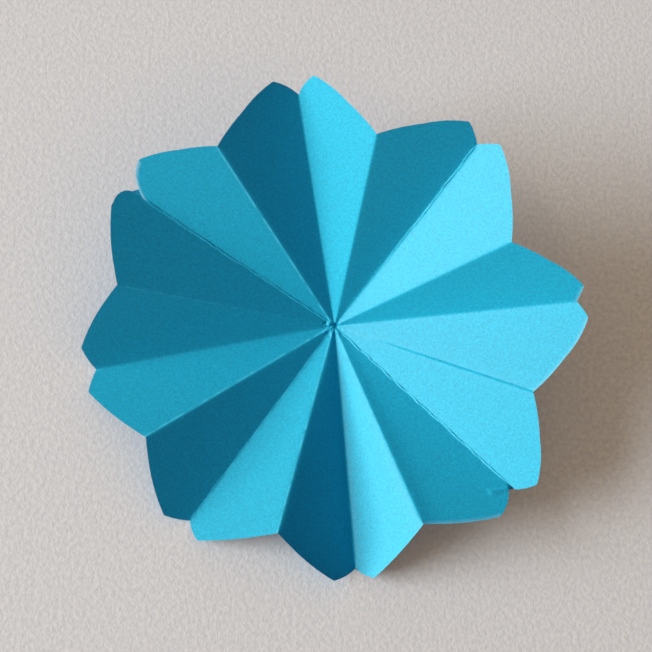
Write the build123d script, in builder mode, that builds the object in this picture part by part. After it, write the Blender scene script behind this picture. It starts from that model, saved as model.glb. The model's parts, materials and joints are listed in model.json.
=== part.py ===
"""Paper flower folded and cut from one disc of light card.

The disc is creased into sixteen sectors, ridge and valley in turn, and its rim is cut while the
packet is folded, so every sector carries the same half petal, turned over from one to the next.
Let go, the pleats spring half open into a shallow cup, which lies tipped over: it touches the
table with its middle and with two valley creases.

Lengths are in millimetres and angles in degrees. The origin is where the creases meet, on the
underside, +Z is up from the table, and creases are counted clockwise as seen from above.
"""

import os
from itertools import combinations
from math import cos, radians, sin

from build123d import *

# Driving sizes of the sheet
petal_count = 8
card_thickness = 0.25
valley_radius = 48.0  # middle to the nick in a petal's end
ridge_radius = 44.5  # middle to the notch between two petals
tip_radius = 51.0  # middle to a petal's outermost corner
tip_spread = 4.5  # valley crease to that corner
tip_round = 0.7  # rounding of that corner
nick_bow = 0.2  # how far the short cut, from the nick to that corner, stands out from its chord
rim_bow = 0.7  # how far the long cut, from the notch to that corner, stands out where it starts to turn
straight_share = 0.5  # share of the long cut that runs straight before it turns

# Driving angles of the fold
valley_rise = 19.0  # slope of a valley crease, measured from the plane across the flower's axis
first_azimuth = 120.0  # direction of the first ridge
lean_azimuth = 233.0  # side to which the flower has tipped over

# Tear beside the end of one valley crease
torn_facet = 7
tear_length = 1.9
tear_setback = 0.95  # end of the crease to the tear's mouth, along the crease
tear_width = 0.75

# Overhang of one facet past the end of its valley crease
long_facet = 14
overhang = 1.6

# Unevenness of the hand folding, crease by crease, from the first ridge on
fold_swing = [0.1, -0.1, 1.3, -0.2, -2.4, 0.5, -0.2, -2.3, -2.5, -1, 1.5, 1.4, -0.2, 2.3, 2.1, 1.9]
fold_lift = [0.2, 1, 3.1, 3.2, 1, -0.5, -4.8, -2, 0.9, -1.5, 3, 3.6, 0.9, -3, -2.8, 1.8]
fold_reach = [1.4, 0, 0.2, 0.5, -0.9, 1.4, -1.2, 0.3, 0.5, 0, -0.3, 0.1, 0.2, -0.3, 0.5, -1.8]

# Unevenness of the scissor cut, facet by facet, from the facet after the first ridge on
tip_reach = [0.9, 1.1, 0.9, 0.8, 0.7, 0.5, 0.1, -0.5, -0.5, -0.7, -0.3, -0.3, -0.7, -0.8, 0, 1.2]
tip_drift = [0.1, -0.2, -0.3, -1, -1.1, -1.3, -0.6, 1.9, -0.1, 0.6, -0.7, 0.4, 0.2, 0.9, -0.1, 2]
nick_drift = [0.15, 0.2, 0, -0.05, -0.15, -0.1, 0.05, 0.4, 0.1, 0.1, 0.1, 0, -0.05, 0, 0.8, 0.55]
bow_drift = [0, 0.15, 0.2, 0.35, 0.25, 0.3, 0.25, -0.4, -0.5, -0.35, -0.45, -0.3, -0.4, -0.3, -0.35, -0.1]
straight_drift = [0, 0, 0, 0, 0, 0, 0, -0.3, -0.3, -0.3, -0.3, -0.3, -0.3, -0.3, -0.3, 0]

crease_count = 2 * petal_count
crease_step = 360 / crease_count
apex = (0, 0, 0)


def uneven(nominal, drifts, index):
    """A nominal size with the hand-made drift of one crease or facet."""
    return nominal + drifts[index % len(drifts)]


def is_ridge(index):
    """Ridges and valleys take turns, beginning with a ridge."""
    return index % 2 == 0


def crease_directions(ridge_rise):
    """Unit vectors along all creases, in the flower's own frame with its axis along Z."""
    directions = []
    for index in range(crease_count):
        nominal_rise = ridge_rise if is_ridge(index) else valley_rise
        rise = radians(uneven(nominal_rise, fold_lift, index))
        azimuth = radians(uneven(first_azimuth - index * crease_step, fold_swing, index))
        level = cos(rise)
        directions.append(Vector(level * cos(azimuth), level * sin(azimuth), sin(rise)))
    return directions


def neighbours(items):
    """Each item with the next one round the ring."""
    return list(zip(items, items[1:] + items[:1]))


def flat_ridge_rise():
    """Ridge slope at which the sectors add up to a full turn, as they do in a flat disc."""
    low, high = valley_rise, 90.0
    for _ in range(50):
        middle = (low + high) / 2
        turn = sum(one.get_angle(other) for one, other in neighbours(crease_directions(middle)))
        low, high = (low, middle) if turn > 360 else (middle, high)
    return low


def resting_normal(creases):
    """Upward normal of the table: a plane through two valleys with every crease on or above it."""
    lean = Vector(cos(radians(lean_azimuth)), sin(radians(lean_azimuth)), 0)
    normals = []
    for one, other in combinations(creases[1::2], 2):
        normal = one.cross(other).normalized()
        normal = normal if normal.Z > 0 else -normal
        if all(crease.dot(normal) > -1e-9 for crease in creases):
            normals.append(normal)
    return min(normals, key=lean.dot)


# Lay the folded sheet on the table
own_frame_creases = crease_directions(flat_ridge_rise())
table = Plane(origin=apex, x_dir=(1, 0, 0), z_dir=resting_normal(own_frame_creases))
creases = [table.to_local_coords(crease) for crease in own_frame_creases]
flower_axis = table.to_local_coords(Vector(0, 0, 1))


def facet_plane(valley, ridge):
    """Plane of one facet, with X along its valley crease and Z on the side of the cup's inside."""
    normal = valley.cross(ridge)
    return Plane(origin=apex, x_dir=valley, z_dir=normal if normal.dot(flower_axis) > 0 else -normal)


facets = []
for index, (one, other) in enumerate(neighbours(creases)):
    valley_index, ridge_index = (index + 1, index) if is_ridge(index) else (index, index + 1)
    valley, ridge = (other, one) if is_ridge(index) else (one, other)
    facets.append((index, valley_index, ridge_index, facet_plane(valley, ridge), ridge))

# Height along the axis that gives the card its thickness square to the facets
mean_slope = sum(plane.z_dir.dot(flower_axis) for _, _, _, plane, _ in facets) / crease_count
card_height = card_thickness / mean_slope

with BuildPart() as paper_flower:
    for index, valley_index, ridge_index, plane, ridge in facets:
        ridge_in_plane = plane.to_local_coords(ridge)
        side = 1 if ridge_in_plane.Y > 0 else -1
        ridge_end = ridge_in_plane * uneven(ridge_radius, fold_reach, ridge_index)
        valley_end = Vector(uneven(valley_radius, fold_reach, valley_index), 0)
        spread = uneven(tip_spread, tip_drift, index)
        tip = Vector((uneven(tip_radius, tip_reach, index) ** 2 - spread**2) ** 0.5, side * spread)
        nick = [valley_end]
        if index == torn_facet:
            tear_mouth = valley_end + Vector(-tear_setback, side * tear_width)
            nick = [valley_end - Vector(tear_length, 0), tear_mouth]
        if index == long_facet:
            nick = [valley_end + Vector(overhang, 0)]
        chord = tip - ridge_end
        outward = Vector(-chord.Y, chord.X).normalized() * side
        straight = chord * uneven(straight_share, straight_drift, index)
        straight += outward * uneven(rim_bow, bow_drift, index)
        with BuildSketch(plane) as facet:
            with BuildLine():
                Polyline((0, 0), *nick)
                SagittaArc(nick[-1], tip, -side * uneven(nick_bow, nick_drift, index))
                TangentArc(ridge_end + straight, tip, tangent=straight)
                Polyline(ridge_end + straight, ridge_end, (0, 0))
            make_face()
            fillet(facet.vertices().sort_by_distance(tip)[0], radius=tip_round)
        extrude(amount=card_height, dir=flower_axis)

paper_flower.part.label = "paper_flower"

os.makedirs("parts", exist_ok=True)
export_step(paper_flower.part, "parts/paper_flower.step")
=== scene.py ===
"""Folded card flower on a pale table, lit by a low soft light from the left.

The solid gives the flat facets, the creases and the cut rim. This script lays a fine sheet over them, with
rounded bends, crushed beads in the first folds, a crumpled middle and loose corners, and dresses it as dyed
card. Creases are counted clockwise from the first ridge. A facet has the number of the crease before it.
Sizes are in millimetres and become metres when a mesh or an object is made.
"""

import json
import logging
import math
from dataclasses import dataclass, field
from enum import Enum
from typing import Any, ClassVar, Optional, Union

import bmesh
import bpy
import numpy as np
from mathutils import Matrix, Vector

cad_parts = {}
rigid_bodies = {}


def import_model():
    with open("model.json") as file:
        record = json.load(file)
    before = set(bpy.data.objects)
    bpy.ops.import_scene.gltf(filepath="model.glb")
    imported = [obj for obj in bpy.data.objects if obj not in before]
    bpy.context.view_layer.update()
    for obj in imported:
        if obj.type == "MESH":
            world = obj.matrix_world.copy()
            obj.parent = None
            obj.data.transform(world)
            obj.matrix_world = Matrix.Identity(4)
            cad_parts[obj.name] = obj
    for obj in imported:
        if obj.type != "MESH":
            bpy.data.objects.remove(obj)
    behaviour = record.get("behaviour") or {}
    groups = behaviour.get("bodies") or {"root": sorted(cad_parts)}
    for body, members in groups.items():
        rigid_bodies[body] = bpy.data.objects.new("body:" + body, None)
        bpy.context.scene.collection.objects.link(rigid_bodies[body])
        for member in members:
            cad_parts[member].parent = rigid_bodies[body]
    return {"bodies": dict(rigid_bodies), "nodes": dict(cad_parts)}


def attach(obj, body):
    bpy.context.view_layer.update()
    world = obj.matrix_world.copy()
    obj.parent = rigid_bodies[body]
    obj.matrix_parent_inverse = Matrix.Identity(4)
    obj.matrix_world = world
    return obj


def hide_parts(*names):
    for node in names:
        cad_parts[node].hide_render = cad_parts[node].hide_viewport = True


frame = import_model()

log = logging.getLogger("paper_flower")

MM = 0.001  # one millimetre in metres
NOISE_DETAIL = 3.0  # octaves of every noise pattern
MOTTLE_ENDS = (0.3, 0.7)  # noise values at which a mottle has its darker and its lighter colour
MIX_FACTOR, MIX_FIRST, MIX_SECOND, MIX_RESULT = 0, 6, 7, 2  # colour sockets of a mix node

# What doesn't belong to the part is taken away, so that the box is the solid's own
part_objects = {*frame["nodes"].values(), *frame["bodies"].values()}
for stray in [item for item in bpy.data.objects if item not in part_objects]:
    bpy.data.objects.remove(stray)
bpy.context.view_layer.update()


def linear(hex_colour: str) -> tuple[float, float, float, float]:
    """Turn an sRGB hex colour into linear RGBA.

    Args:
        hex_colour: colour written as "#rrggbb".

    Returns:
        The linear red, green and blue, and an alpha of one.
    """
    shares = [int(hex_colour[at : at + 2], 16) / 255 for at in (1, 3, 5)]
    red, green, blue = (
        share / 12.92 if share <= 0.04045 else ((share + 0.055) / 1.055) ** 2.4 for share in shares
    )
    return red, green, blue, 1.0


def per_metre(size_mm: float) -> float:
    """Pattern scale at which one feature is as wide as the given size in millimetres."""
    return 1 / (size_mm * MM)


def arch(share: np.ndarray) -> np.ndarray:
    """Parabola that is 0 at shares of 0 and 1, and 1 halfway."""
    return 4 * share * (1 - share)


def add_node(
    tree: bpy.types.NodeTree,
    kind: str,
    settings: Optional[dict[Union[str, int], Any]] = None,
    links: Optional[dict[Union[str, int], bpy.types.NodeSocket]] = None,
) -> bpy.types.Node:
    """Add one node with its settings and links.

    Args:
        tree: node tree that takes the node.
        kind: the node's type name.
        settings: properties of the node, or values of its input sockets by name or number.
        links: output sockets of other nodes, by the name or number of the input that each one feeds.

    Returns:
        The new node.
    """
    node = tree.nodes.new(kind)
    for name, value in (settings or {}).items():
        if isinstance(name, str) and hasattr(node, name):
            setattr(node, name, value)
        else:
            node.inputs[name].default_value = value
    for name, source in (links or {}).items():
        tree.links.new(source, node.inputs[name])
    return node


def empty_material(name: str) -> tuple[bpy.types.Material, bpy.types.NodeTree]:
    """Make a node material with nothing in its tree.

    Args:
        name: name of the material.

    Returns:
        The material and its empty tree.
    """
    material = bpy.data.materials.new(name)
    material.use_nodes = True
    material.node_tree.nodes.clear()
    return material, material.node_tree


class Fold(Enum):
    """Which way the sheet bends at a crease, seen from inside the cup."""

    RIDGE = -1.0
    VALLEY = 1.0


class Side(Enum):
    """Which face of the sheet is meant."""

    UPPER = "upper"
    LOWER = "lower"


@dataclass(frozen=True)
class Crease:
    """How one crease looks from close by.

    Attributes:
        fold: which way the sheet bends there.
        softness: how far the bend is rounded, in millimetres.
        bead: height of the crushed bead that stands in the fold, in millimetres.
        wear: how pale the fold is, from 0 to 1: worn dye, and on the rounded ninth crease also a painted
            sheen
        on its lit side.
        sag: how far the crease rises between the middle and the rim, in millimetres.
        start: distance from the middle at which bead and wear are half there, in millimetres.
        bead_width: half width of the bead, in millimetres.
        wear_shift: how far clockwise of the fold the pale line lies, in millimetres.
        unevenness: how far its worked line strays and swells, from 0 to 1.
    """

    fold: Fold
    softness: float
    bead: float = 0.0
    wear: float = 0.0
    sag: float = 0.0
    start: float = 1.5
    bead_width: float = 0.13
    wear_shift: float = 0.0
    unevenness: float = 1.0


@dataclass(frozen=True)
class Facet:
    """How one facet departs from flat.

    Attributes:
        bow: height of its middle over the line between its two creases, at the rim, in millimetres.
        first_curl: drop of the sheet just after its first crease, in millimetres.
        last_curl: drop of the sheet just before its second crease, in millimetres.
        nick_bow: how far its short cut stands out further than the solid has it, in millimetres.
        nick_fibre_and_highlight: how pale its short cut is: bare fibre and a painted edge highlight, from 0
            to 1.
        rim_fibre_and_highlight: how pale its long cut is: bare fibre and a painted edge highlight, from 0 to
            1.
    """

    bow: float = 0.0
    first_curl: float = 0.0
    last_curl: float = 0.0
    nick_bow: float = 0.0
    nick_fibre_and_highlight: float = 0.0
    rim_fibre_and_highlight: float = 0.0


@dataclass(frozen=True)
class Dent:
    """A small bump or hollow in the crumpled middle.

    Attributes:
        place: its place in the sheet's own frame, in millimetres.
        height: its height, or less than 0 for a hollow, in millimetres.
        width: its half width, in millimetres.
    """

    place: tuple[float, float]
    height: float
    width: float


@dataclass(frozen=True)
class Wrinkle:
    """A short straight wrinkle in one facet.

    Attributes:
        facet: number of the facet, clockwise.
        begin, end: its two ends in the sheet's own frame, in millimetres.
        height: its height, or less than 0 for a groove, in millimetres.
        width: its half width, in millimetres.
    """

    facet: int
    begin: tuple[float, float]
    end: tuple[float, float]
    height: float
    width: float


@dataclass(frozen=True)
class Flap:
    """A loose corner of card at the end of a crease whose two facets part there.

    Attributes:
        crease: number of the crease, clockwise.
        facet: the facet that it belongs to, before or after the crease.
        width: angle of the stretch of that facet's rim on which it hangs, in degrees.
        corners: its free corners, clockwise: place in the sheet's own frame and drop under the facet, in
            millimetres.
        reach: how far that facet's short cut is longer at the crease than the solid has it, in millimetres.
    """

    crease: int
    facet: int
    width: float
    corners: tuple[tuple[float, float, float], ...]
    reach: float = 0.0


@dataclass
class SheetForm:
    """The folded sheet as the solid has it, seen along its own axis.

    Attributes:
        apex: point on the upper face where all creases meet, in millimetres.
        axes: the sheet's own u, v and w directions, as rows, with w along its axis.
        card_height: thickness of the card along that axis, in millimetres.
        slopes: rise of each facet along u and v.
        bearings: azimuth of the crease before each facet, clockwise, in radians.
        spans: angle between each facet's two creases, in radians.
        rims: angle from the first crease and radius of each rim corner, facet by facet.
    """

    apex: np.ndarray
    axes: np.ndarray
    card_height: float
    slopes: np.ndarray
    bearings: np.ndarray
    spans: np.ndarray
    rims: list[np.ndarray]

    first_bearing: ClassVar[float] = math.radians(120)  # about where the first ridge lies
    least_facet: ClassVar[float] = 100.0  # area over which a face is a facet, in square millimetres
    flat_within: ClassVar[float] = math.radians(0.2)  # bend under which two faces are one
    same_point: ClassVar[float] = 1e-4  # distance under which two points are one, in millimetres
    same_corner: ClassVar[float] = 0.2  # gap under which two corners are one, in millimetres
    on_crease: ClassVar[float] = math.radians(0.03)  # angle under which a corner lies on a crease
    past_crease: ClassVar[float] = math.radians(0.04)  # angle at which a longer facet goes on

    @classmethod
    def read(cls, node: bpy.types.Object) -> "SheetForm":
        """Read the sheet's facets, creases and rim from the solid's mesh.

        Args:
            node: the solid, which stays as it is.

        Returns:
            The sheet's form.
        """
        solid = bmesh.new()
        solid.from_mesh(node.data)
        bmesh.ops.scale(solid, vec=Vector((1 / MM,) * 3), verts=solid.verts)
        bmesh.ops.remove_doubles(solid, verts=solid.verts, dist=cls.same_point)
        bmesh.ops.dissolve_limit(solid, angle_limit=cls.flat_within, verts=solid.verts, edges=solid.edges)
        large = [face for face in solid.faces if face.calc_area() > cls.least_facet]
        upper = {face for face in large if face.normal.z > 0}
        lower = {face for face in large if face.normal.z < 0}
        top = max(solid.verts, key=lambda corner: len(upper.intersection(corner.link_faces)))
        under = max(solid.verts, key=lambda corner: len(lower.intersection(corner.link_faces)))
        axis = (top.co - under.co).normalized()
        across = (Vector((1, 0, 0)) - axis * axis.x).normalized()
        turn = Matrix((across, axis.cross(across), axis))

        def polar(corner: bmesh.types.BMVert) -> tuple[float, float]:
            """Azimuth of a corner about the sheet's axis, and its distance from that axis."""
            local = turn @ (corner.co - top.co)
            return math.atan2(local.y, local.x), math.hypot(local.x, local.y)

        def apart(one: float, other: float) -> float:
            """Clockwise angle from one azimuth to another, from 0 up to a full turn."""
            return (one - other) % math.tau

        facets = []
        for face in upper:
            at_top = next(loop for loop in face.loops if loop.vert == top)
            begin = polar(at_top.link_loop_prev.vert)[0]
            end = polar(at_top.link_loop_next.vert)[0]
            facets.append((begin, apart(begin, end), face))
        nearest = min(facets, key=lambda facet: abs(facet[0] - cls.first_bearing))[0]
        facets.sort(key=lambda facet: apart(nearest + cls.flat_within, facet[0]))

        rims = []
        for begin, span, face in facets:
            rim = {
                corner
                for edge in face.edges
                if not upper.issuperset(edge.link_faces)
                for corner in edge.verts
            }
            corners = []
            for corner in rim:
                azimuth, radius = polar(corner)
                angle = (begin - azimuth + math.pi) % math.tau - math.pi
                corners.append((min(max(angle, 0.0), span), radius))
            rims.append(np.array(sorted(corners)))
        normals = [turn @ face.normal for _, _, face in facets]
        form = cls(
            apex=np.array(top.co),
            axes=np.array(turn),
            card_height=(top.co - under.co).length,
            slopes=np.array([(-normal.x / normal.z, -normal.y / normal.z) for normal in normals]),
            bearings=np.array([facet[0] for facet in facets]),
            spans=np.array([facet[1] for facet in facets]),
            rims=rims,
        )
        solid.free()
        form.settle_crease_ends()
        return form

    def settle_crease_ends(self) -> None:
        """Give both facets at a crease one end, and a corner just beside it to the longer of the two."""
        for after in range(len(self.rims)):
            before = after - 1
            span = self.spans[before]
            own, other = self.rims[after], self.rims[before]
            at_start = own[:, 0] < self.on_crease
            at_end = span - other[:, 0] < self.on_crease
            own_end, other_end = own[at_start, 1].max(), other[at_end, 1].max()
            end = min(own_end, other_end)
            first, last = [(0.0, end)], [(span, end)]
            if own_end - end > self.same_corner:
                first.append((self.past_crease, own_end))
            if other_end - end > self.same_corner:
                last.insert(0, (span - self.past_crease, other_end))
            self.rims[after] = np.vstack([first, own[~at_start]])
            self.rims[before] = np.vstack([other[~at_end], last])

    def lengthen(self, flap: Flap) -> None:
        """Lengthen a facet's short cut towards the crease where a flap hangs on it.

        Args:
            flap: the flap, which says by how much.
        """
        rim = self.rims[flap.facet]
        at_end = flap.crease != flap.facet
        angle = self.spans[flap.facet] - rim[:, 0] if at_end else rim[:, 0]
        tip = angle[rim[:, 1].argmax()]
        rim[:, 1] += flap.reach * np.clip(1 - angle / tip, 0, 1) * (angle > 0)

    def bow_nick(self, facet: int, height: float, fold: Fold) -> None:
        """Make a facet's short cut stand out further.

        Args:
            facet: number of the facet.
            height: how far the middle of the cut stands out further, in millimetres.
            fold: which way the sheet bends at the facet's first crease.
        """
        rim = self.rims[facet]
        angle = rim[:, 0] if fold is Fold.VALLEY else self.spans[facet] - rim[:, 0]
        share = np.clip(angle / angle[rim[:, 1].argmax()], 0, 1)
        rim[:, 1] += height * arch(share)

    def rim_radius(self, facet: int, angle: np.ndarray) -> np.ndarray:
        """Radius of the rim at angles clockwise from a facet's first crease."""
        return np.interp(angle, self.rims[facet][:, 0], self.rims[facet][:, 1])

    def to_frame(self, own: np.ndarray) -> np.ndarray:
        """Turn points of the sheet's own frame into points of the part's frame, in millimetres."""
        return self.apex + own @ self.axes


@dataclass(frozen=True)
class DyedCard:
    """Card dyed through and calendered between rollers: matt, slightly satin, mottled, with a fine tooth.

    The pulp takes the dye unevenly, so the colour is cloudy on the scale of a fibre bundle. Rollers press
    the fibres flat, which leaves a weak wide sheen towards the light. A worn fold loses dye and turns pale,
    and on one rounded ridge that pale line also paints a sheen on its lit side. A cut bares fibres that took
    hardly any, and along the cuts that pale colour also paints a highlight on the cut edges and lifts the
    shade of their walls. Sizes are in millimetres.
    """

    deep_dye: str = "#1b9eb7"
    pale_dye: str = "#22c0db"
    # pale colour of worn folds, which on one rounded ridge also paints a sheen on its lit side
    rubbed_and_sheen: str = "#58e2f8"
    # pale colour of bare cut fibre, which also paints a highlight on the cut edges and lifts the shade of
    # their walls
    bare_fibre_and_edge_highlight: str = "#c8f2fa"
    roughness: float = 0.55
    specular: float = 0.4
    cloud_size: float = 0.42  # fibre bundles
    cloud_roughness: float = 0.75
    tooth_size: float = 0.2  # drawn coarser than the real fibres, so that it shows
    tooth_depth: float = 0.026
    tooth_roughness: float = 0.6

    def material(self) -> bpy.types.Material:
        """Make the card's material.

        Returns:
            The material.
        """
        material, tree = empty_material("dyed_card_calendered")
        place = add_node(tree, "ShaderNodeTexCoord").outputs["Object"]
        cloud = add_node(
            tree,
            "ShaderNodeTexNoise",
            {"Scale": per_metre(self.cloud_size), "Detail": NOISE_DETAIL, "Roughness": self.cloud_roughness},
            {"Vector": place},
        )
        tooth = add_node(
            tree,
            "ShaderNodeTexNoise",
            {"Scale": per_metre(self.tooth_size), "Detail": NOISE_DETAIL, "Roughness": self.tooth_roughness},
            {"Vector": place},
        )
        mottle = add_node(tree, "ShaderNodeValToRGB", {}, {"Fac": cloud.outputs["Fac"]})
        dyes = (self.deep_dye, self.pale_dye)
        for end, position, dye in zip(mottle.color_ramp.elements, MOTTLE_ENDS, dyes):
            end.position = position
            end.color = linear(dye)
        colour = mottle.outputs["Color"]
        # pale fold colour and pale cut colour: worn dye with a painted sheen on one ridge, and bare fibre
        # with a painted edge highlight
        for attribute, paler in (("fold_wear_and_sheen", self.rubbed_and_sheen), ("cut_fibre_and_edge_highlight", self.bare_fibre_and_edge_highlight)):
            share = add_node(tree, "ShaderNodeAttribute", {"attribute_name": attribute}).outputs["Fac"]
            mix = add_node(
                tree,
                "ShaderNodeMix",
                {"data_type": "RGBA", MIX_SECOND: linear(paler)},
                {MIX_FACTOR: share, MIX_FIRST: colour},
            )
            colour = mix.outputs[MIX_RESULT]
        relief = add_node(
            tree,
            "ShaderNodeBump",
            {"Strength": 1.0, "Distance": self.tooth_depth * MM},
            {"Height": tooth.outputs["Fac"]},
        )
        surface = add_node(
            tree,
            "ShaderNodeBsdfPrincipled",
            {"Roughness": self.roughness, "Specular IOR Level": self.specular},
            {"Base Color": colour, "Normal": relief.outputs["Normal"]},
        )
        add_node(tree, "ShaderNodeOutputMaterial", {}, {"Surface": surface.outputs["BSDF"]})
        return material


@dataclass(frozen=True)
class TableTop:
    """Painted board, rolled with matt paint: pale grey with a fine orange-peel relief and no gloss.

    The warm glow stands for the room's own light: only the camera sees it, it lights nothing, and it dims
    where the flower hangs close over the paint. Sizes are in millimetres.
    """

    dark_paint: str = "#bcc3cb"
    light_paint: str = "#c3cad3"
    dark_glow: str = "#827355"
    light_glow: str = "#958461"
    glow_reach: float = 40.0
    roughness: float = 0.9
    specular: float = 0.2
    peel_size: float = 0.9
    peel_depth: float = 0.11
    peel_roughness: float = 0.6

    def material(self) -> bpy.types.Material:
        """Make the table's material.

        Returns:
            The material.
        """
        material, tree = empty_material("matt_paint_rolled")
        place = add_node(tree, "ShaderNodeTexCoord").outputs["Object"]
        peel = add_node(
            tree,
            "ShaderNodeTexNoise",
            {"Scale": per_metre(self.peel_size), "Detail": NOISE_DETAIL, "Roughness": self.peel_roughness},
            {"Vector": place},
        )
        mottles = []
        for colours in ((self.dark_paint, self.light_paint), (self.dark_glow, self.light_glow)):
            mottle = add_node(tree, "ShaderNodeValToRGB", {}, {"Fac": peel.outputs["Fac"]})
            for end, position, colour in zip(mottle.color_ramp.elements, MOTTLE_ENDS, colours):
                end.position = position
                end.color = linear(colour)
            mottles.append(mottle.outputs["Color"])
        paint, glow = mottles
        relief = add_node(
            tree,
            "ShaderNodeBump",
            {"Strength": 1.0, "Distance": self.peel_depth * MM},
            {"Height": peel.outputs["Fac"]},
        )
        open_glow = add_node(
            tree, "ShaderNodeAmbientOcclusion", {"Distance": self.glow_reach * MM}, {"Color": glow}
        )
        seen = add_node(tree, "ShaderNodeLightPath").outputs["Is Camera Ray"]
        surface = add_node(
            tree,
            "ShaderNodeBsdfPrincipled",
            {"Roughness": self.roughness, "Specular IOR Level": self.specular},
            {
                "Base Color": paint,
                "Normal": relief.outputs["Normal"],
                "Emission Color": open_glow.outputs["Color"],
                "Emission Strength": seen,
            },
        )
        add_node(tree, "ShaderNodeOutputMaterial", {}, {"Surface": surface.outputs["BSDF"]})
        return material


def uneven_line(along: np.ndarray, step: float, seed: int) -> np.ndarray:
    """Hand-made unevenness along a line: short straight stretches with a kink from one to the next.

    Args:
        along: distances along the line, in millimetres.
        step: length of a stretch with its kink, in millimetres.
        seed: number that picks the stretches.

    Returns:
        Values from -1 to 1.
    """
    longest = 60.0  # longer than any line, in millimetres
    kink = 0.45  # share of a stretch that its kink takes up
    levels = np.random.default_rng(seed).uniform(-1, 1, int(longest / step) + 2)
    place = np.clip(along / step, 0, longest / step)
    number = place.astype(int)
    share = np.clip((place - number - 1) / kink + 1, 0, 1)
    return levels[number] + share * (levels[number + 1] - levels[number])


@dataclass(frozen=True)
class HandWork:
    """How evenly one kind of hand work goes along a line.

    Attributes:
        step: length of a stretch of even work, in millimetres.
        level: mean strength of the work.
        swing: how far the strength goes up and down from there.
        first_seed, seed_step: number that picks the stretches of the first line, and its step to the next.
    """

    step: float
    level: float
    swing: float
    first_seed: int
    seed_step: int

    def strength(self, along: np.ndarray, line: int, unevenness: float = 1.0) -> np.ndarray:
        """Strength of the work along one line.

        Args:
            along: distances along the line, in millimetres.
            line: number of the line.
            unevenness: share of the swing that the line has.

        Returns:
            Strengths at those distances.
        """
        seed = self.first_seed + self.seed_step * line
        return self.level + self.swing * unevenness * uneven_line(along, self.step, seed)


def default_creases() -> tuple[Crease, ...]:
    """Describe all creases as the hand left them.

    Returns:
        The creases, clockwise from the first ridge.
    """
    ridge, valley = Fold.RIDGE, Fold.VALLEY
    return (
        Crease(ridge, 0.10, wear=1.0, sag=0.2, wear_shift=-0.25),
        Crease(valley, 0.15),
        Crease(ridge, 0.12, sag=0.4),
        Crease(valley, 0.20, bead=0.15, wear=0.3, start=20.0),
        Crease(ridge, 0.12, sag=0.4),
        Crease(valley, 0.15),
        Crease(ridge, 0.10, bead=0.30, start=14.0, bead_width=0.12, unevenness=0.15),
        Crease(valley, 0.12, bead=0.18, wear=0.4),
        # this rounded ridge's pale line is partly a painted sheen on its lit side
        Crease(ridge, 0.30, wear=0.2, sag=0.2, wear_shift=0.15),
        Crease(valley, 0.35),
        Crease(ridge, 0.25, wear=0.7, sag=0.6, wear_shift=0.2),
        Crease(valley, 0.12, bead=0.06, wear=0.4),
        Crease(ridge, 0.12, wear=0.8, wear_shift=0.25),
        Crease(valley, 0.25),
        Crease(ridge, 0.12, wear=0.3, start=15.0, wear_shift=-0.15),
        Crease(valley, 0.12, bead=0.17, wear=0.3),
    )


def default_facets() -> tuple[Facet, ...]:
    """Describe all facets.

    Returns:
        The facets, clockwise from the first ridge.
    """
    flat = Facet()
    return (
        *[flat] * 4,
        # the pale cuts of these facets are bare fibre and a painted highlight where light catches the cut
        # edge
        Facet(bow=-0.2, nick_fibre_and_highlight=0.35),
        Facet(rim_fibre_and_highlight=0.2),
        flat,
        Facet(bow=-0.15, last_curl=0.55, rim_fibre_and_highlight=0.3),
        Facet(first_curl=-0.35, last_curl=0.5),
        Facet(bow=0.1, first_curl=-0.65),
        Facet(bow=-0.2),
        *[flat] * 4,
        Facet(nick_bow=0.4, nick_fibre_and_highlight=1.0),
    )


def default_dents() -> tuple[Dent, ...]:
    """Describe the crumpled middle: the dents that show well, and small ones scattered between them.

    Returns:
        The dents.
    """
    seen = (
        Dent((0.0, 0.0), 0.5, 1.2),
        Dent((-1.75, 0.5), -0.3, 0.3),
        Dent((-1.0, 0.35), 0.4, 0.4),
        Dent((0.4, -0.03), -0.6, 0.5),
        Dent((-0.4, -1.5), 0.22, 0.3),
        Dent((0.97, -1.54), 0.15, 0.3),
    )
    count, seed = 26, 11
    nearest, farthest = 0.5, 2.6  # millimetres from the middle
    most_height, width = 0.16, 0.25  # millimetres
    chance = np.random.default_rng(seed)
    bearings = chance.uniform(0, math.tau, count)
    reaches = chance.uniform(nearest, farthest, count)
    heights = chance.uniform(-most_height, most_height, count)
    scattered = tuple(
        Dent((reach * math.cos(bearing), reach * math.sin(bearing)), height, width)
        for bearing, reach, height in zip(bearings, reaches, heights)
    )
    return seen + scattered


@dataclass
class SheetFace:
    """One meshed face of the sheet.

    Attributes:
        points: its points in the sheet's own frame, in millimetres.
        wear: how pale each point is on the folds, from worn dye and painted sheen, from 0 to 1.
        fibre: how pale each point is along the cuts, from bare fibre and a painted edge highlight, from 0 to
            1.
        polygons: its polygons by point numbers, seen from above.
        rim: point numbers along the rim, clockwise.
    """

    points: np.ndarray
    wear: np.ndarray
    fibre: np.ndarray
    polygons: list[tuple[int, ...]]
    rim: list[int]


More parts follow.
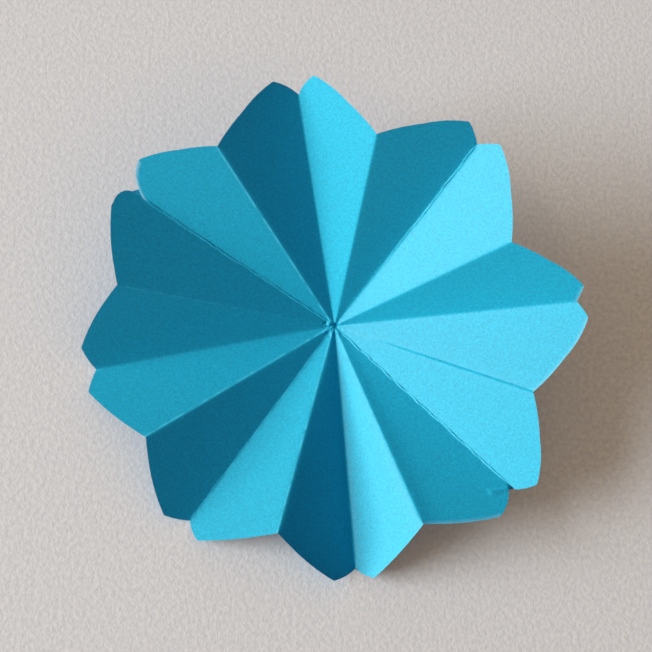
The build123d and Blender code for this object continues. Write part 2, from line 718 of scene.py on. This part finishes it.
@dataclass
class CardFlower:
    """The flower: one disc of card, folded into sixteen facets and cut at the rim.

    Attributes:
        form: the sheet as the solid has it.
        finish: what the card is made of.
        creases: close look of each crease, clockwise from the first ridge.
        facets: how far each facet departs from flat, clockwise from the first ridge.
        dents: bumps and hollows of the crumpled middle.
        wrinkles: short wrinkles in the facets.
        flaps: loose corners at the ends of creases.
        hub_radius, hub_rows: radius of the crumpled middle, in millimetres, and its number of rows.
        outer_rows: number of rows of points from there to the rim, on each face.
        row_crowding: power that crowds those rows towards the middle.
        near_crease: angles of the columns of points beside a crease, in degrees.
        settle_radius: radius within which the bends get sharper towards the middle, in millimetres.
        least_softness: share of a bend's softness that is left at the middle.
        crush_radius: radius within which the pleats are crushed flat, in millimetres.
        fade_out: least length over which a bend fades at the end of its crease, in millimetres.
        fade_share: that length for a soft bend, as a multiple of its softness.
        wear_width: half width of a pale fold line of worn dye and painted sheen, in millimetres.
        edge_fibre_and_highlight: how pale the walls of the cuts are, from bare fibre and a painted highlight
            that lifts their
        shade, from 0 to 1.
        curl_width: width over which a facet curls beside a crease, in millimetres.
        burr_and_highlight_width: width of the pale band along a cut, of bare fibre and painted highlight, in
            millimetres.
        burr_and_highlight_fade: share of that pale band's colour that is left at its inner border.
        wandering: how far a worked line strays from its crease, in millimetres.
        beading, rubbing, cutting: how evenly the beads, the pale folds and the pale cuts with their painted
        highlight go.
    """

    form: SheetForm
    finish: DyedCard = field(default_factory=DyedCard)
    creases: tuple[Crease, ...] = field(default_factory=default_creases)
    facets: tuple[Facet, ...] = field(default_factory=default_facets)
    dents: tuple[Dent, ...] = field(default_factory=default_dents)
    wrinkles: tuple[Wrinkle, ...] = (
        Wrinkle(facet=7, begin=(33.0, -27.6), end=(36.0, -26.8), height=0.3, width=0.35),
    )
    flaps: tuple[Flap, ...] = (
        Flap(crease=7, facet=7, width=1.0, corners=((37.5, -26.95, 1.0),)),
        Flap(
            crease=15, facet=14, width=0.05, corners=((-37.72, 24.38, 0.0), (-37.27, 23.58, 0.0)), reach=1.1
        ),
    )
    hub_radius: float = 2.4
    hub_rows: int = 20
    outer_rows: dict[Side, int] = field(default_factory=lambda: {Side.UPPER: 96, Side.LOWER: 8})
    row_crowding: float = 1.15
    near_crease: tuple[float, ...] = (0.12, 0.24, 0.36, 0.5, 0.75, 1.2, 2.0, 3.5, 6.0, 9.0)
    settle_radius: float = 6.0
    least_softness: float = 0.05
    crush_radius: float = 0.7
    fade_out: float = 0.6
    fade_share: float = 4.0
    wear_width: float = 0.14
    edge_fibre_and_highlight: float = 0.3
    curl_width: float = 1.5
    burr_and_highlight_width: float = 0.35
    burr_and_highlight_fade: float = 0.45
    wandering: HandWork = HandWork(step=1.2, level=0.0, swing=0.16, first_seed=0, seed_step=3)
    beading: HandWork = HandWork(step=0.9, level=0.85, swing=0.5, first_seed=1, seed_step=3)
    rubbing: HandWork = HandWork(step=0.9, level=0.6, swing=0.6, first_seed=2, seed_step=3)
    cutting_and_highlight: HandWork = HandWork(step=0.7, level=0.85, swing=0.15, first_seed=100, seed_step=1)

    def columns(self, facet: int) -> np.ndarray:
        """Angles of a facet's columns of points.

        Args:
            facet: number of the facet, clockwise.

        Returns:
            Angles from its first crease, in radians, without the second crease's own column.
        """
        span = self.form.spans[facet]
        beside = np.radians(self.near_crease)
        beside = beside[beside < span / 2]
        across = []
        for wrinkle in self.wrinkles:
            if wrinkle.facet == facet:
                ends = np.array([wrinkle.begin, wrinkle.end])
                along, aside = self.beside_crease(facet, ends[:, 0], ends[:, 1])
                margin = wrinkle.width / along.min()
                turned = np.arctan2(aside, along)
                across += list(np.arange(turned.min() - 2 * margin, turned.max() + 2 * margin, margin / 2))
        closest = math.radians(self.near_crease[0]) / 2
        kept = list(self.form.rims[facet][:, 0])
        for angle in [*beside, *(span - beside), *across]:
            if 0 < angle < span and np.abs(np.array(kept) - angle).min() > closest:
                kept.append(angle)
        return np.array(sorted(kept))[:-1]

    def bend(self, crease: int, u: np.ndarray, v: np.ndarray) -> np.ndarray:
        """Height that rounding one crease adds to the flat facets.

        Args:
            crease: number of the crease.
            u, v: coordinates in the sheet's own frame, in millimetres.

        Returns:
            Heights along the sheet's axis, in millimetres.
        """
        look = self.creases[crease]
        before, after = self.form.slopes[crease - 1], self.form.slopes[crease]
        gap = np.abs((before[0] - after[0]) * u + (before[1] - after[1]) * v) / 2
        softness = look.softness * np.clip(np.hypot(u, v) / self.settle_radius, self.least_softness, 1)
        return self.ends(crease, u, v) * look.fold.value * softness * np.log1p(np.exp(-2 * gap / softness))

    def ends(self, crease: int, u: np.ndarray, v: np.ndarray) -> np.ndarray:
        """Share of a crease's bend that is left towards its end.

        Args:
            crease: number of the crease.
            u, v: coordinates in the sheet's own frame, in millimetres.

        Returns:
            One along most of the crease, fading to none at its end.
        """
        left = self.form.rims[crease][0, 1] - np.hypot(u, v)
        length = max(self.fade_out, self.fade_share * self.creases[crease].softness)
        return np.clip(left / length, 0, 1)

    def beside_crease(self, crease: int, u: np.ndarray, v: np.ndarray) -> tuple[np.ndarray, np.ndarray]:
        """Place of points along a crease and beside it.

        Args:
            crease: number of the crease.
            u, v: coordinates in the sheet's own frame, in millimetres.

        Returns:
            Distances along the crease from the middle, and distances clockwise from the crease.
        """
        bearing = self.form.bearings[crease]
        return (
            u * math.cos(bearing) + v * math.sin(bearing),
            u * math.sin(bearing) - v * math.cos(bearing),
        )

    def stray(self, crease: int, along: np.ndarray) -> np.ndarray:
        """How far the worked line of a crease strays clockwise from it, in millimetres."""
        settled = np.clip(along / self.settle_radius, 0, 1)
        return settled * self.wandering.strength(along, crease, self.creases[crease].unevenness)

    def begun(self, crease: int, along: np.ndarray) -> np.ndarray:
        """Share of a crease's bead and wear that is there: half at their start, all further out."""
        return np.clip(along / self.creases[crease].start - 0.5, 0, 1)

    def bead(self, crease: int, u: np.ndarray, v: np.ndarray) -> np.ndarray:
        """Height of the crushed bead in one crease.

        Args:
            crease: number of the crease.
            u, v: coordinates in the sheet's own frame, in millimetres.

        Returns:
            Heights, in millimetres.
        """
        look = self.creases[crease]
        along, beside = self.beside_crease(crease, u, v)
        size = self.beading.strength(along, crease, look.unevenness)
        fade = self.begun(crease, along) * self.ends(crease, u, v)
        aside = (beside - self.stray(crease, along)) / look.bead_width
        return look.bead * size * fade * np.exp(-(aside**2))

    def middle(self, u: np.ndarray, v: np.ndarray) -> np.ndarray:
        """Height of the crumpled middle.

        Args:
            u, v: coordinates in the sheet's own frame, in millimetres.

        Returns:
            Heights, in millimetres.
        """
        return sum(
            dent.height * np.exp(-((np.hypot(u - dent.place[0], v - dent.place[1]) / dent.width) ** 2))
            for dent in self.dents
        )

    def wrinkled(self, facet: int, u: np.ndarray, v: np.ndarray) -> np.ndarray:
        """Height of the wrinkles in one facet.

        Args:
            facet: number of the facet.
            u, v: coordinates in the sheet's own frame, in millimetres.

        Returns:
            Heights, in millimetres.
        """
        total = np.zeros(u.shape)
        for wrinkle in self.wrinkles:
            if wrinkle.facet != facet:
                continue
            begin, end = np.array(wrinkle.begin), np.array(wrinkle.end)
            length = np.hypot(*(end - begin))
            forward = (end - begin) / length
            along = (u - begin[0]) * forward[0] + (v - begin[1]) * forward[1]
            aside = (u - begin[0]) * forward[1] - (v - begin[1]) * forward[0]
            past = np.maximum(np.maximum(-along, along - length), 0)
            total = total + wrinkle.height * np.exp(-(aside**2 + past**2) / wrinkle.width**2)
        return total

    def give(self, facet: int, u: np.ndarray, v: np.ndarray) -> np.ndarray:
        """Height by which a facet departs from flat: its bow, its curls and the sag of its two creases.

        Args:
            facet: number of the facet.
            u, v: coordinates in the sheet's own frame, in millimetres.

        Returns:
            Heights along the sheet's axis, in millimetres.
        """
        look = self.facets[facet]
        span = self.form.spans[facet]
        along, beside = self.beside_crease(facet, u, v)
        radius = np.hypot(u, v)
        angle = np.clip(np.arctan2(beside, along), 0, span)
        share = angle / span
        out = radius / max(rim[:, 1].max() for rim in self.form.rims)
        first, last = self.creases[facet].sag, self.creases[(facet + 1) % len(self.creases)].sag
        sag = ((1 - share) * first + share * last) * arch(out)
        bow = look.bow * out * arch(share)
        after = np.exp(-radius * np.sin(angle) / self.curl_width) - 1
        before = np.exp(-radius * np.sin(span - angle) / self.curl_width) - 1
        curl = look.first_curl * after * (1 - share) + look.last_curl * before * share
        return sag + bow + curl * np.clip(radius / self.settle_radius, 0, 1)

    def heights(self, facet: int, u: np.ndarray, v: np.ndarray) -> tuple[np.ndarray, np.ndarray]:
        """Heights of a facet's two faces over the sheet's own plane.

        Args:
            facet: number of the facet.
            u, v: coordinates in the sheet's own frame, in millimetres.

        Returns:
            Heights of the upper and of the lower face, in millimetres.
        """
        slope = self.form.slopes[facet]
        both = (facet, (facet + 1) % len(self.creases))
        bends = sum(self.bend(crease, u, v) for crease in both)
        beads = sum(self.bead(crease, u, v) for crease in both)
        pleat = slope[0] * u + slope[1] * v + self.give(facet, u, v) + bends
        uncrushed = 1 - np.exp(-((np.hypot(u, v) / self.crush_radius) ** 2))
        sheet = pleat * uncrushed + self.middle(u, v)
        upper = sheet + self.wrinkled(facet, u, v) + beads
        return upper, sheet - self.form.card_height

    def rubbed_and_sheen(self, facet: int, u: np.ndarray, v: np.ndarray) -> np.ndarray:
        """How pale the folds beside a facet are: worn dye, and on one rounded ridge a painted sheen.

        Args:
            facet: number of the facet.
            u, v: coordinates in the sheet's own frame, in millimetres.

        Returns:
            Shares of wear and painted sheen, from 0 to 1.
        """
        worn = np.zeros(u.shape)
        for crease in (facet, (facet + 1) % len(self.creases)):
            look = self.creases[crease]
            along, beside = self.beside_crease(crease, u, v)
            patchy = np.clip(self.rubbing.strength(along, crease), 0, 1) * self.begun(crease, along)
            aside = beside - look.wear_shift - self.stray(crease, along) * (look.bead != 0)
            worn = np.maximum(worn, look.wear * patchy * np.exp(-((aside / self.wear_width) ** 2)))
        return worn

    def burr_and_highlight(self, facet: int, angle: np.ndarray) -> np.ndarray:
        """How pale a facet's cuts are: bare fibre, and a painted highlight where light catches the cut edge.

        Args:
            facet: number of the facet.
            angle: angles from its first crease, in radians.

        Returns:
            Shares of bare fibre and painted highlight, from 0 to 1.
        """
        look = self.facets[facet]
        rim = self.form.rims[facet]
        tip = rim[rim[:, 1].argmax(), 0]
        nick_first = self.creases[facet].fold is Fold.VALLEY
        bare = np.where((angle < tip) == nick_first, look.nick_fibre_and_highlight, look.rim_fibre_and_highlight)
        return bare * self.cutting_and_highlight.strength(angle * rim[:, 1].max(), facet)

    def grid(self, facet: int, outer_rows: int) -> tuple[np.ndarray, np.ndarray]:
        """Places of a facet's points, a row for each radius and a column for each angle.

        Args:
            facet: number of the facet.
            outer_rows: number of rows from the crumpled middle to the rim.

        Returns:
            First and second coordinates in the sheet's own frame, in millimetres.
        """
        angle = self.columns(facet)
        reach = self.form.rim_radius(facet, angle)
        hub = self.hub_radius * np.linspace(0, 1, self.hub_rows + 1)[1:, None]
        outward = np.linspace(0, 1, outer_rows)[1:, None] ** self.row_crowding
        inside = reach - self.burr_and_highlight_width
        outer = self.hub_radius + outward * (inside - self.hub_radius)
        radius = np.vstack([hub * np.ones(len(angle)), outer, reach])
        turned = self.form.bearings[facet] - angle
        return radius * np.cos(turned), radius * np.sin(turned)

    def face(self, side: Side) -> SheetFace:
        """Mesh one face of the sheet.

        Args:
            side: which face.

        Returns:
            The face.
        """
        under = self.form.card_height if side is Side.LOWER else 0.0
        centre = np.array([[0.0, 0.0, self.middle(np.zeros(1), np.zeros(1))[0] - under]])
        points, wear, fibre, strips = [centre], [np.zeros(1)], [np.zeros(1)], []
        made = 1
        for facet in range(len(self.facets)):
            u, v = self.grid(facet, self.outer_rows[side])
            upper, lower = self.heights(facet, u, v)
            points.append(np.stack([u, v, upper if side is Side.UPPER else lower], axis=-1).reshape(-1, 3))
            # pale band along the rim: bare fibre and a painted highlight on the cut edge
            bare = np.zeros(u.shape)
            bare[-1, 1:] = self.burr_and_highlight(facet, self.columns(facet)[1:])
            bare[-2] = self.burr_and_highlight_fade * bare[-1]
            # pale folds: worn dye, and a painted sheen on one rounded ridge
            wear.append(self.rubbed_and_sheen(facet, u, v).ravel() if side is Side.UPPER else np.zeros(u.size))
            fibre.append(bare.ravel())
            strips.append(made + np.arange(u.size).reshape(u.shape))
            made += u.size
        ring = np.hstack([*strips, strips[0][:, :1]])
        polygons = [(0, int(b), int(a)) for a, b in zip(ring[0, :-1], ring[0, 1:])]
        for near, far in zip(ring[:-1].tolist(), ring[1:].tolist()):
            polygons += list(zip(near[:-1], near[1:], far[1:], far[:-1]))
        face = SheetFace(
            points=np.vstack(points),
            wear=np.concatenate(wear),
            fibre=np.concatenate(fibre),
            polygons=polygons,
            rim=ring[-1].tolist(),
        )
        for flap in self.flaps:
            self.hang(flap, face, int(strips[flap.crease][-1, 0]), under)
        return face

    def hang(self, flap: Flap, face: SheetFace, crease_end: int, under: float) -> None:
        """Hang a loose corner on the rim of a face.

        Args:
            flap: the loose corner.
            face: the face, which takes it.
            crease_end: number of the point at the end of its crease.
            under: how far the face lies under the upper one, in millimetres.
        """
        corners = np.array(flap.corners)
        corners[:, 2] = corners[:, :2] @ self.form.slopes[flap.facet] - corners[:, 2] - under
        numbers = list(range(len(face.points), len(face.points) + len(corners)))
        face.points = np.vstack([face.points, corners])
        face.wear = np.append(face.wear, np.zeros(len(corners)))
        face.fibre = np.append(face.fibre, np.zeros(len(corners)))
        at = face.rim.index(crease_end)
        angle = self.columns(flap.facet)
        width = math.radians(flap.width)
        if flap.facet == flap.crease:
            first, last = at, at + int((angle < width).sum()) - 1
        else:
            first, last = at - int((self.form.spans[flap.facet] - angle < width).sum()), at
        face.polygons.append((*face.rim[first : last + 1], *reversed(numbers)))
        face.rim[first + 1 : last] = numbers

    def mesh(self) -> bpy.types.Mesh:
        """Close the sheet's two faces along the rim, and mark its pale folds and pale cuts: worn dye with a
        painted sheen on one ridge, and bare fibre with a painted highlight on the cut edges.

        Returns:
            The mesh, in metres.
        """
        upper, lower = self.face(Side.UPPER), self.face(Side.LOWER)
        first = len(upper.points)
        below = [tuple(first + corner for corner in reversed(polygon)) for polygon in lower.polygons]
        beneath = [first + corner for corner in lower.rim]
        walls = list(zip(upper.rim[:-1], beneath[:-1], beneath[1:], upper.rim[1:]))
        points = self.form.to_frame(np.vstack([upper.points, lower.points])) * MM
        mesh = bpy.data.meshes.new("folded_card_flower")
        mesh.from_pydata(points.tolist(), [], upper.polygons + below + walls)
        mesh.polygons.foreach_set("use_smooth", [True] * len(mesh.polygons))
        sharp = {frozenset(pair) for rim in (upper.rim, beneath) for pair in zip(rim[:-1], rim[1:])}
        for edge in mesh.edges:
            edge.use_edge_sharp = frozenset(edge.vertices) in sharp
        corners = np.concatenate([np.array(polygon) for polygon in upper.polygons + below])
        wear = np.concatenate([upper.wear, lower.wear])[corners]
        fibre = np.concatenate([upper.fibre, lower.fibre])[corners]
        # the walls take a share of the pale cut colour, a painted highlight that lifts their shade
        cut = np.ones(sum(len(wall) for wall in walls))
        for name, values in (
            ("fold_wear_and_sheen", np.concatenate([wear, 0 * cut])),
            ("cut_fibre_and_edge_highlight", np.concatenate([fibre, self.edge_fibre_and_highlight * cut])),
        ):
            mesh.attributes.new(name, "FLOAT", "CORNER").data.foreach_set("value", values)
        mesh.update()
        mesh.calc_loop_triangles()
        return mesh

    def build(self) -> bpy.types.Object:
        """Build the flower and put it on the part.

        Returns:
            The flower's object, dressed.
        """
        for flap in self.flaps:
            self.form.lengthen(flap)
        for facet, look in enumerate(self.facets):
            self.form.bow_nick(facet, look.nick_bow, self.creases[facet].fold)
        flower = bpy.data.objects.new("folded_card_flower", self.mesh())
        bpy.context.scene.collection.objects.link(flower)
        flower.data.materials.append(self.finish.material())
        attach(flower, "root")
        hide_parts("paper_flower")
        log.info("%s: %d triangles", flower.name, len(flower.data.loop_triangles))
        return flower


@dataclass
class Studio:
    """Table, light and camera.

    Attributes:
        table: finish of the table.
        table_side: side of the table, in millimetres.
        table_drop: gap that keeps the table clear of the card's underside, in millimetres.
        light_bearing, light_rise: direction of the soft light's middle, in degrees.
        light_distance: distance of the soft light, in millimetres.
        light_width, light_height: its size, in millimetres.
        light_power: its power, in watts.
        room_colour, room_strength: dim light that the room sends from all sides.
        backdrop_colour: what the camera sees past the table's edge.
        view_bearing, view_rise, view_roll: direction and roll of the camera, in degrees.
        view_distance: distance of the camera from its target, in millimetres.
        view_target: point that the camera looks at, in millimetres.
        lens, sensor: focal length and width of the camera's sensor, in millimetres.
        nearest, farthest: distances from which and up to which the camera sees, in millimetres.
    """

    table: TableTop = field(default_factory=TableTop)
    table_side: float = 3000.0
    table_drop: float = 0.06
    light_bearing: float = 184.3
    light_rise: float = 22.8
    light_distance: float = 2000.0
    light_width: float = 1200.0
    light_height: float = 1370.0
    light_power: float = 72.0
    room_colour: str = "#6a70ff"
    room_strength: float = 0.085
    backdrop_colour: str = "#e6e2e0"
    view_bearing: float = 240.16
    view_rise: float = 74.11
    view_roll: float = 1.66
    view_distance: float = 320.0
    view_target: tuple[float, float, float] = (-1.74, -0.15, 0.0)
    lens: float = 88.88
    sensor: float = 36.0
    nearest: float = 10.0
    farthest: float = 100000.0

    @staticmethod
    def direction(bearing: float, rise: float) -> Vector:
        """Unit vector in a direction.

        Args:
            bearing: angle from +X about +Z, in degrees.
            rise: angle over the table, in degrees.

        Returns:
            The vector.
        """
        level = math.cos(math.radians(rise))
        around = math.radians(bearing)
        return Vector((level * math.cos(around), level * math.sin(around), math.sin(math.radians(rise))))

    def lay_table(self) -> bpy.types.Object:
        """Lay the table under the part.

        Returns:
            The table's object.
        """
        mesh = bpy.data.meshes.new("table_top")
        half = self.table_side / 2 * MM
        level = -self.table_drop * MM
        mesh.from_pydata(
            [(-half, -half, level), (half, -half, level), (half, half, level), (-half, half, level)],
            [],
            [(0, 1, 2, 3)],
        )
        mesh.materials.append(self.table.material())
        table = bpy.data.objects.new("table_top", mesh)
        bpy.context.scene.collection.objects.link(table)
        log.info("%s laid", table.name)
        return table

    def hang_light(self) -> bpy.types.Object:
        """Hang the soft light at the left.

        Returns:
            The light's object.
        """
        data = bpy.data.lights.new("soft_side_light", "AREA")
        data.shape = "RECTANGLE"
        data.size, data.size_y = self.light_width * MM, self.light_height * MM
        data.energy = self.light_power
        light = bpy.data.objects.new("soft_side_light", data)
        bpy.context.scene.collection.objects.link(light)
        towards = self.direction(self.light_bearing, self.light_rise)
        light.location = towards * self.light_distance * MM
        light.rotation_euler = (-towards).to_track_quat("-Z", "Y").to_euler()
        log.info("%s hung", light.name)
        return light

    def fill_room(self) -> None:
        """Fill the room with dim light, and show a pale backdrop to the camera alone."""
        scene = bpy.context.scene
        scene.world = scene.world or bpy.data.worlds.new("room")
        scene.world.use_nodes = True
        tree = scene.world.node_tree
        tree.nodes.clear()
        seen = add_node(tree, "ShaderNodeLightPath").outputs["Is Camera Ray"]
        dim = {"Color": linear(self.room_colour), "Strength": self.room_strength}
        pale = {"Color": linear(self.backdrop_colour), "Strength": 1.0}
        room = add_node(tree, "ShaderNodeBackground", dim)
        backdrop = add_node(tree, "ShaderNodeBackground", pale)
        both = add_node(
            tree,
            "ShaderNodeMixShader",
            {},
            {0: seen, 1: room.outputs["Background"], 2: backdrop.outputs["Background"]},
        )
        add_node(tree, "ShaderNodeOutputWorld", {}, {"Surface": both.outputs["Shader"]})
        log.info("%s filled with dim light", scene.world.name)

    def set_camera(self) -> bpy.types.Object:
        """Set the camera at the photograph's angle.

        Returns:
            The camera's object.
        """
        data = bpy.data.cameras.new("camera")
        data.lens, data.sensor_width = self.lens, self.sensor
        data.clip_start, data.clip_end = self.nearest * MM, self.farthest * MM
        camera = bpy.data.objects.new("camera", data)
        bpy.context.scene.collection.objects.link(camera)
        back = self.direction(self.view_bearing, self.view_rise)
        right = Vector((0, 1, 0)).cross(back).normalized()
        up = back.cross(right)
        roll = math.radians(self.view_roll)
        rolled_right = right * math.cos(roll) + up * math.sin(roll)
        rolled_up = up * math.cos(roll) - right * math.sin(roll)
        turn = Matrix((rolled_right, rolled_up, back)).transposed().to_4x4()
        place = (Vector(self.view_target) + back * self.view_distance) * MM
        camera.matrix_world = Matrix.Translation(place) @ turn
        bpy.context.scene.camera = camera
        log.info("%s set", camera.name)
        return camera

    def set_up(self) -> None:
        """Set up table, light, room and camera."""
        bpy.context.scene.view_settings.view_transform = "Standard"
        self.lay_table()
        self.hang_light()
        self.fill_room()
        self.set_camera()


def main() -> None:
    logging.basicConfig(level=logging.INFO, format="%(name)s: %(message)s")
    Studio().set_up()
    CardFlower(SheetForm.read(frame["nodes"]["paper_flower"])).build()
    bpy.context.view_layer.update()


if __name__ == "__main__":
    main()
